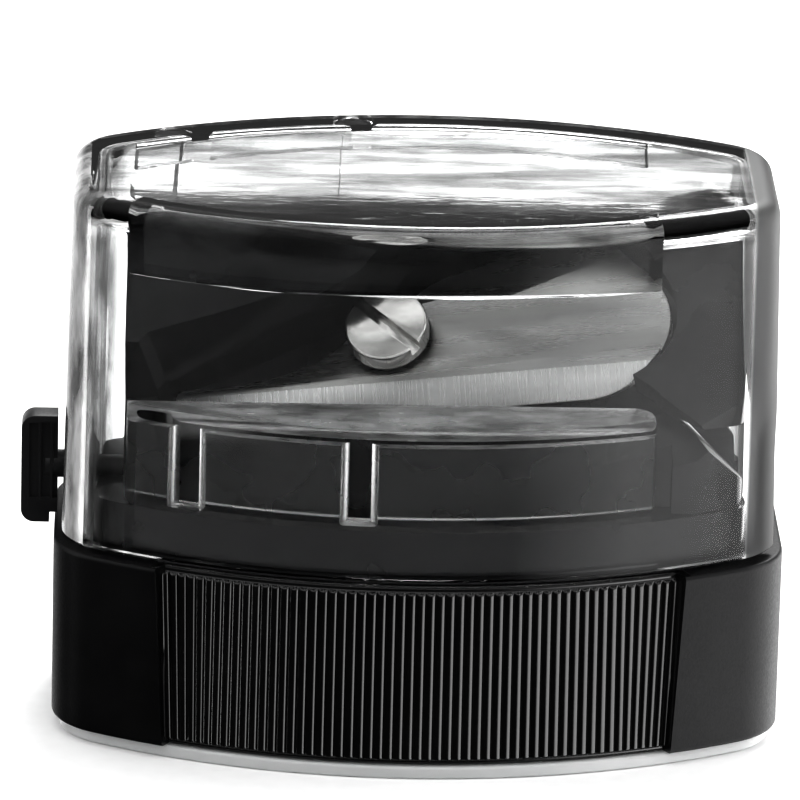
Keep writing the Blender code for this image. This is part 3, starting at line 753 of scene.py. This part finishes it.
def make_insert(mat):
    inner = INSERT_INSET + INSERT_WALL
    sections = [(inner, DECK_UNDER), (inner, insert_low.z), (INSERT_INSET, insert_low.z),
                (INSERT_INSET, DECK_TOP)]
    insert = add_object("insert_moulding", loft([(outline(i), z) for i, z in sections]))
    base_z = DECK_TOP - GAP
    body = add_object("body", box((BODY_X[0], BODY_FRONT, base_z), (BODY_X[1], BODY_BACK, BLOCK_TOP)))
    cheek = box((CHEEK_LEFT, CHEEK_FRONT, base_z), (BODY_X[1], 0.0, BLOCK_TOP - 1 * MM))
    limit = loft([(outline(BODY_INSET), 12.0 * MM), (outline(BODY_INSET), 30.0 * MM)])
    combine(body, [
        ("UNION", add_object("cheek", cheek)),
        ("INTERSECT", add_object("limit", limit)),
        ("DIFFERENCE", add_object("face", face_cutter())),
        ("DIFFERENCE", add_object("pocket", pocket_cutter())),
        ("DIFFERENCE", add_object("tip", tip_cutter())),
        ("DIFFERENCE", add_object("window", window_cutter())),
        ("DIFFERENCE", add_object("back", back_cutter())),
    ])
    run_out = (CONE_TIP_X - 0.4 * MM, 0, AXIS_Z)
    mouth = (CONE_MOUTH_X, 0, AXIS_Z)
    before_mouth = (CONE_MOUTH_X - 2 * OVERLAP, 0, AXIS_Z)
    right_side = (WIDTH / 2, 0, AXIS_Z)
    bore = PIN_RADIUS + GAP
    left_side = (-WIDTH / 2, 0, PIN_Z)
    channel_end = (PIN_END_X + GAP, 0, PIN_Z)
    seat = blade_frame()
    hole_radius = SCREW_SHANK_RADIUS + GAP
    hole_low = seat @ Vector((*SCREW_AT, -SCREW_LENGTH - GAP))
    hole_high = seat @ Vector((*SCREW_AT, BLADE_THICK))
    combine(insert, [
        ("UNION", body),
        ("DIFFERENCE", add_object("cone", cone(CONE_TIP_RADIUS, PENCIL_RADIUS + OVERLAP, run_out, mouth))),
        ("DIFFERENCE", add_object("entry", cone(PENCIL_RADIUS, PENCIL_RADIUS, before_mouth, right_side))),
        ("DIFFERENCE", add_object("channel", cone(bore, bore, left_side, channel_end, 48))),
        ("DIFFERENCE", add_object("screw_hole", cone(hole_radius, hole_radius, hole_low, hole_high, 48))),
    ])
    round_edges(insert, 0.14 * MM, 3)
    coat(insert, mat)
    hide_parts("sharpener_insert")
    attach(insert, "base")
    return insert


# ---------------------------------------------------------------- blade and screw
def blade_outline():
    start = -asin((BLADE_END[1] - BLADE_LOW) / BLADE_END_RADIUS)
    points = [(-4.5 * MM, BLADE_LOW)]
    points += arc(BLADE_END, BLADE_END_RADIUS, start, pi / 2 + 0.08, 48)
    upper = [(17.2 * MM, 9.4 * MM), (13.5 * MM, 9.2 * MM), (10.2 * MM, 8.75 * MM), (8.2 * MM, 7.6 * MM),
             (6.2 * MM, 5.6 * MM), (4.0 * MM, 3.6 * MM), (1.5 * MM, 2.6 * MM), (-1.0 * MM, 2.15 * MM),
             (-4.1 * MM, 2.05 * MM)]
    points += catmull(upper, 6)
    points += [(-4.4 * MM, 1.9 * MM), (-4.5 * MM, 1.6 * MM)]
    return points


def make_blade(face_mat, bevel_mat):
    seat = blade_frame()
    blade = add_object("blade_plate", prism(blade_outline(), BLADE_THICK))
    rise = BLADE_THICK - BEVEL_EDGE
    before = 0.5 * MM
    beyond = 1.5
    wedge = [(BLADE_LOW - before, BEVEL_EDGE - before * rise / BEVEL_WIDTH),
             (BLADE_LOW + BEVEL_WIDTH * beyond, BEVEL_EDGE + rise * beyond),
             (BLADE_LOW - before, BEVEL_EDGE + rise * beyond)]
    hole_radius = SCREW_SHANK_RADIUS + GAP
    hole = cone(hole_radius, hole_radius, (*SCREW_AT, -1 * MM), (*SCREW_AT, 2 * MM), 64)
    combine(blade, [
        ("DIFFERENCE", add_object("hole", hole)),
        ("DIFFERENCE", add_object("bevel", prism(wedge, 36.0 * MM, yz_plane(-8.0 * MM)))),
    ])
    round_edges(blade, 0.05 * MM, 2)
    coat(blade, face_mat, bevel_mat)
    slope = Vector((0, -rise, BEVEL_WIDTH)).normalized()
    for polygon in blade.data.polygons:
        if polygon.normal.dot(slope) > 0.995:
            polygon.material_index = 1
    blade.matrix_world = seat
    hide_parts("blade")
    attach(blade, "base")
    return blade


def make_screw(mat):
    face = BLADE_THICK + GAP
    top = face + SCREW_HEAD_HEIGHT
    edge = 0.16 * MM
    profile = [(0.0, -SCREW_LENGTH), (SCREW_SHANK_RADIUS - edge, -SCREW_LENGTH),
               (SCREW_SHANK_RADIUS, -SCREW_LENGTH + edge), (SCREW_SHANK_RADIUS, face),
               (SCREW_HEAD_RADIUS - 0.08 * MM, face), (SCREW_HEAD_RADIUS, face + 0.08 * MM)]
    profile += [(SCREW_HEAD_RADIUS - edge + edge * cos(a), top - edge + edge * sin(a))
                for a in (pi / 2 * i / 6 for i in range(7))]
    profile += [(SCREW_HEAD_RADIUS * 0.5, top), (0.0, top)]
    screw = add_object("slotted_screw", turned(profile, 128))
    slot = box((-3 * MM, -SLOT_WIDTH / 2, top - SLOT_DEPTH), (3 * MM, SLOT_WIDTH / 2, top + 1 * MM))
    slot.transform(Matrix.Rotation(radians(-45), 4, "Z"))
    combine(screw, [("DIFFERENCE", add_object("slot", slot))])
    round_edges(screw, 0.05 * MM, 2, 35)
    coat(screw, mat)
    screw.matrix_world = blade_frame() @ Matrix.Translation((*SCREW_AT, 0))
    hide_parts("blade_screw")
    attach(screw, "base")
    return screw


# ---------------------------------------------------------------- clear cover
def cover_shell():
    ceiling = COVER_TOP - COVER_WALL
    top_inset = COVER_INSET + COVER_DRAFT
    shoulder = COVER_TOP - COVER_EDGE
    rim = 0.15 * MM
    inner_top = top_inset + COVER_WALL
    path = fillet(inner_top + INNER_EDGE, ceiling - INNER_EDGE, INNER_EDGE, pi / 2, 0)
    path += [(COVER_INSET + COVER_WALL - 0.02 * MM, COVER_BOTTOM + rim)]
    path += [(COVER_INSET + COVER_WALL - rim, COVER_BOTTOM), (COVER_INSET + rim, COVER_BOTTOM)]
    path += [(COVER_INSET, COVER_BOTTOM + rim)]
    path += [(COVER_INSET + COVER_DRAFT * (HAZE_AND_SHADE_Z - COVER_BOTTOM) / (shoulder - COVER_BOTTOM), HAZE_AND_SHADE_Z)]
    path += fillet(top_inset + COVER_EDGE, shoulder, COVER_EDGE, 0, pi / 2, 14)
    return loft([(outline(i), z) for i, z in path])


def band(outer, inner, low, high, side=1, fall=0.0):
    """A curved strip along the front (1) or back (-1) wall; its underside may fall towards the inside."""
    points = []
    for inset, order in ((outer, 1), (inner, -1)):
        r = BOW_RADIUS - inset
        start, end = (asin(x / r) for x in FRAME_X)
        points += arc((0, BOW_CENTER_Y), r, -pi / 2 + start, -pi / 2 + end, 48)[::order]
    points = [(x, y * side) for x, y in points]
    bm = loft([(points, low), (points, high)])
    bm.verts.ensure_lookup_table()
    for vert in bm.verts[len(points) // 2:len(points)]:
        vert.co.z -= (inner - outer) * tan(fall)
    return bm


def make_cover(mat, frame_mat, hazy_shelf_painted_shade_mat, hazy_edge_painted_shade_mat):
    cover = add_object("cover_shell", cover_shell())
    wall = COVER_INSET + COVER_WALL
    roof = COVER_TOP - COVER_WALL + FRAME_OVERLAP
    r = BOW_RADIUS - wall + FRAME_OVERLAP
    start, end = (asin(x / r) for x in FRAME_X)
    plate = arc((0, BOW_CENTER_Y), r, -pi / 2 + start, -pi / 2 + end, 48)
    plate += arc((FRAME_X[1] - SHELF_CORNER, SHELF_BACK - SHELF_CORNER), SHELF_CORNER, 0, pi / 2, 10)
    plate += [(FRAME_X[0], SHELF_BACK)]
    shelf = add_object("shelf", loft([(plate, SHELF_Z[0]), (plate, SHELF_Z[1])]))
    round_edges(shelf, 0.3 * MM, 4)
    tools = [("UNION", shelf)]
    skirt = wall + SKIRT_OFFSET
    strips = (band(skirt, skirt + SKIRT_THICK, SKIRT_LOW, SHELF_Z[0] + FRAME_OVERLAP),
              band(wall - 0.4 * MM, wall + UPPER_THICK, UPPER_LOW, roof, 1, UPPER_FALL),
              band(skirt, skirt + SKIRT_THICK, BACK_LOW, roof, -1))
    for strip_mesh in strips:
        strip = add_object("strip", strip_mesh)
        round_edges(strip, 0.12 * MM, 3)
        tools.append(("UNION", strip))
    for x in COLUMN_X:
        y = BOW_CENTER_Y - sqrt((BOW_RADIUS - wall) ** 2 - x * x) + COLUMN_INSET
        for place, low, high in ((y, SKIRT_LOW, SHELF_Z[1] - 0.2 * MM), (-y, BACK_COLUMN_LOW, roof)):
            rod = cone(COLUMN_RADIUS, COLUMN_RADIUS, (x, place, low), (x, place, high), 48)
            column = add_object("column", rod)
            round_edges(column, 0.15 * MM, 3)
            tools.append(("UNION", column))
    for name, radius, axis_z, x, count in (
            ("opening", OPENING_RADIUS, AXIS_Z, WIDTH / 2 - 4 * MM, 49),
            ("notch", PIN_RADIUS + 2 * GAP, PIN_Z, -WIDTH / 2 - 2 * MM, 25)):
        slot = [(-radius, COVER_BOTTOM - 1 * MM), (radius, COVER_BOTTOM - 1 * MM)]
        slot += arc((0, axis_z), radius, 0, pi, count)
        tools.append(("DIFFERENCE", add_object(name, prism(slot, 6 * MM, yz_plane(x)))))
    combine(cover, tools)
    shade(cover, 35)
    coat(cover, mat, frame_mat, hazy_shelf_painted_shade_mat, hazy_edge_painted_shade_mat)
    for polygon in cover.data.polygons:
        x, y, z = polygon.center
        from_front = BOW_RADIUS - sqrt(x * x + (BOW_CENTER_Y - y) ** 2)
        from_back = BOW_RADIUS - sqrt(x * x + (BOW_CENTER_Y + y) ** 2)
        framed = FRAME_X[0] - 0.1 * MM < x < FRAME_X[1] + 0.1 * MM and z < SHELF_Z[1] + 0.1 * MM
        rear_edge = y > 0 and z > HAZE_AND_SHADE_Z and from_back < wall - 0.2 * MM and polygon.normal.z < 0.99
        if framed and y < 0 and from_front > wall + 0.1 * MM:
            polygon.material_index = 2 if z > SHELF_Z[0] - 0.1 * MM else 1
        # index 3: hazy edge material, whose darker streaks are painted shade
        if x < HAZE_AND_SHADE_X or rear_edge:
            polygon.material_index = 3
    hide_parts("clear_cover")
    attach(cover, "cover")
    return cover


# ---------------------------------------------------------------- cleaning stick
def make_stick(mat):
    half = TAB_DEPTH / 2
    points = arc((TAB_X[0] + TAB_CORNER, TAB_Z[0] + TAB_CORNER), TAB_CORNER, pi, 3 * pi / 2, 12)
    points += [(TAB_STEP[0], TAB_Z[0]), TAB_STEP, (TAB_X[1], TAB_STEP[1]), (TAB_X[1], TAB_Z[1])]
    points += arc((TAB_X[0] + TAB_CORNER, TAB_Z[1] - TAB_CORNER), TAB_CORNER, pi / 2, pi, 12)
    stick = add_object("stick_tab", prism(points, TAB_DEPTH, xz_plane(-half)))
    tools = []
    for side in (-1, 1):
        for i in range(3):
            x = TAB_X[0] + GROOVE_FIRST + GROOVE_PITCH * i
            groove = box((x, side * half - GROOVE_DEPTH, TAB_Z[0] + GROOVE_LANDS[0]),
                         (x + GROOVE_WIDTH, side * half + GROOVE_DEPTH, TAB_Z[1] - GROOVE_LANDS[1]))
            tools.append(("DIFFERENCE", add_object("groove", groove)))
    root = TAB_X[1] - PIN_POINT
    length = PIN_END_X - root
    pin_radius = PIN_RADIUS - OVERLAP
    pin = [(0.0, 0.0), (pin_radius, 0.0), (pin_radius, length - PIN_POINT), (0.35 * MM, length - 0.05 * MM),
           (0.3 * MM, length), (0.0, length)]
    lay = Matrix.Translation((root, 0, PIN_Z)) @ Matrix.Rotation(pi / 2, 4, "Y")
    tools.append(("UNION", add_object("pin", turned(pin, 48, lay))))
    combine(stick, tools)
    round_edges(stick, 0.06 * MM, 3)
    coat(stick, mat)
    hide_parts("cleaning_stick")
    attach(stick, "stick")
    return stick


# ---------------------------------------------------------------- studio
def area_light(name, location, target, size, size_y, power):
    data = bpy.data.lights.new(name, "AREA")
    data.shape = "RECTANGLE"
    data.size = size
    data.size_y = size_y
    data.energy = power
    light = bpy.data.objects.new(name, data)
    light.location = location
    light.rotation_mode = "QUATERNION"
    light.rotation_quaternion = (Vector(target) - Vector(location)).to_track_quat("-Z", "Y")
    bpy.context.scene.collection.objects.link(light)


def make_studio():
    mat, nodes, links, shader = new_material("floor_paper")
    place = coordinates(nodes, links, (1, 1, 1))
    grain = noise(nodes, links, place, 900.0, 3.0)
    tint = ramp(nodes, links, grain.outputs["Fac"], (0.90, 0.90, 0.90), (0.93, 0.93, 0.93))
    links.new(tint.outputs["Color"], shader.inputs["Base Color"])
    shader.inputs["Roughness"].default_value = 0.9
    shader.inputs["Specular IOR Level"].default_value = 0.1
    bm = bmesh.new()
    bmesh.ops.create_grid(bm, x_segments=1, y_segments=1, size=1.5)
    mesh = bpy.data.meshes.new("floor")
    bm.to_mesh(mesh)
    bm.free()
    floor = bpy.data.objects.new("floor", mesh)
    floor.location = (0, 0, -0.02 * MM)
    bpy.context.scene.collection.objects.link(floor)
    mesh.materials.append(mat)
    floor.visible_glossy = False

    make_dome()
    area_light("rear_softbox", (0.15, 0.45, 0.38), (0, 0.0, 0), 0.35, 0.25, 2.2)
    area_light("right_softbox", (0.34, 0.0, 0.14), (0, 0, 0.015), 0.20, 0.20, 0.5)
    area_light("left_strip", (-0.40, 0.02, 0.02), (0, 0, 0.015), 0.06, 0.40, 0.5)


def make_dome():
    """Soft light tent: bright overhead, dim towards the horizon, dark below it and brighter on the right.

    Light that has passed through clear plastic sees a pale backdrop all round, as the floor is."""
    world = bpy.data.worlds.new("studio")
    bpy.context.scene.world = world
    world.use_nodes = True
    nodes, links = world.node_tree.nodes, world.node_tree.links
    coords = nodes.new("ShaderNodeTexCoord")
    split = nodes.new("ShaderNodeSeparateXYZ")
    links.new(coords.outputs["Generated"], split.inputs["Vector"])
    height = ramp(nodes, links, split.outputs["Z"], (0.03,) * 3, (1.25,) * 3, 0.0, 0.75)
    stop = height.color_ramp.elements.new(0.32)
    stop.color = (0.22, 0.22, 0.22, 1.0)
    side = ramp(nodes, links, split.outputs["X"], (0.0,) * 3, (3.4,) * 3, 0.30, 0.62)
    back = ramp(nodes, links, split.outputs["Y"], (0.0,) * 3, (1.1,) * 3, 0.55, 0.85)
    low = ramp(nodes, links, split.outputs["Z"], (1.0,) * 3, (0.0,) * 3, 0.02, 0.20)
    around = combined(nodes, links, "MAXIMUM", side.outputs["Color"], back.outputs["Color"])
    flank = combined(nodes, links, "MULTIPLY", around, low.outputs["Color"])
    total = combined(nodes, links, "MAXIMUM", height.outputs["Color"], flank)
    path = nodes.new("ShaderNodeLightPath")
    backdrop = combined(nodes, links, "MULTIPLY", path.outputs["Is Transmission Ray"], BACKDROP)
    lit = combined(nodes, links, "MAXIMUM", total, backdrop)
    links.new(lit, nodes["Background"].inputs["Color"])
    nodes["Background"].inputs["Strength"].default_value = 1.0


def make_camera():
    data = bpy.data.cameras.new("camera")
    data.sensor_width = 36.0
    data.lens = PIXELS_PER_METRE * CAMERA_DISTANCE * data.sensor_width / FRAME_SIZE
    data.clip_start = 0.01
    data.clip_end = 10.0
    camera = bpy.data.objects.new("camera", data)
    bpy.context.scene.collection.objects.link(camera)
    back = Vector((sin(-CAMERA_YAW) * cos(CAMERA_ELEVATION), -cos(CAMERA_YAW) * cos(CAMERA_ELEVATION),
                   sin(CAMERA_ELEVATION)))
    turn = (-back).to_track_quat("-Z", "Y").to_matrix()
    right, up = turn @ Vector((1, 0, 0)), turn @ Vector((0, 1, 0))
    aim = Vector((0, 0, CAMERA_AIM_Z)) + right * AIM_OFFSET[0] + up * AIM_OFFSET[1]
    camera.matrix_world = Matrix.Translation(aim + back * CAMERA_DISTANCE) @ turn.to_4x4() \
        @ Matrix.Rotation(CAMERA_ROLL, 4, "Z")
    bpy.context.scene.camera = camera


make_ring(
    plastic("grained_black_plastic", (0.004, 0.004, 0.0045), (0.008, 0.008, 0.0085), 0.40, 0.52,
            grain_scale=6500.0, grain_height=0.014 * MM, specular=0.22),
    plastic("polished_black_ribs", (0.003, 0.003, 0.0035), (0.006, 0.006, 0.006), 0.13, 0.22,
            grain_scale=3000.0, grain_height=0.002 * MM, specular=0.7))
make_foot(milky_plastic("clear_foot_plastic", (0.86, 0.87, 0.87), (0.96, 0.965, 0.965)))
make_insert(
    plastic("gloss_black_plastic", (0.005, 0.005, 0.006), (0.008, 0.008, 0.009), 0.10, 0.20,
            grain_scale=3600.0, grain_height=0.003 * MM, specular=0.20))
make_blade(
    brushed("blade_face_steel", (0.24, 0.24, 0.24), (0.34, 0.34, 0.335), 0.22, 0.34,
            scale=(0.05, 1.0, 1.0), height=0.003 * MM),
    brushed("blade_ground_bevel", (0.32, 0.32, 0.32), (0.50, 0.50, 0.50), 0.18, 0.42,
            scale=(6.0, 0.06, 0.06), height=0.012 * MM))
make_screw(
    brushed("nickel_plate", (0.50, 0.50, 0.49), (0.60, 0.59, 0.58), 0.10, 0.22,
            scale=(1.0, 1.0, 1.0), height=0.002 * MM))
make_cover(
    # clear cover: its colours hold painted shade on the right wall, on the left wall and near the top
    clear_cover_plastic(CLEAR_COLOR, 0.0, 0.08, wave_height=0.01 * MM),
    matt_clear_plastic((0.80, 0.80, 0.80), 0.18, 0.34),
    # hazy shelf and edges: a hazy finish, and their darker streaks are painted shade
    hazy_plastic("hazy_shelf_plastic_painted_shade", 0.6, (0.30, 0.30, 0.30), (0.90, 0.90, 0.90), (0.5, 1, 1), 0.12, 0.30),
    hazy_plastic("hazy_edge_plastic_painted_shade", 0.55, (0.15, 0.15, 0.15), (0.80, 0.80, 0.80), (1, 1, 0.3), 0.08, 0.2))
make_stick(
    plastic("stick_black_plastic", (0.016, 0.016, 0.017), (0.024, 0.024, 0.025), 0.34, 0.46,
            grain_scale=4200.0, grain_height=0.008 * MM, specular=0.35))
make_studio()
make_camera()
bpy.context.scene.view_settings.view_transform = "Standard"
bpy.context.scene.view_settings.look = "High Contrast"
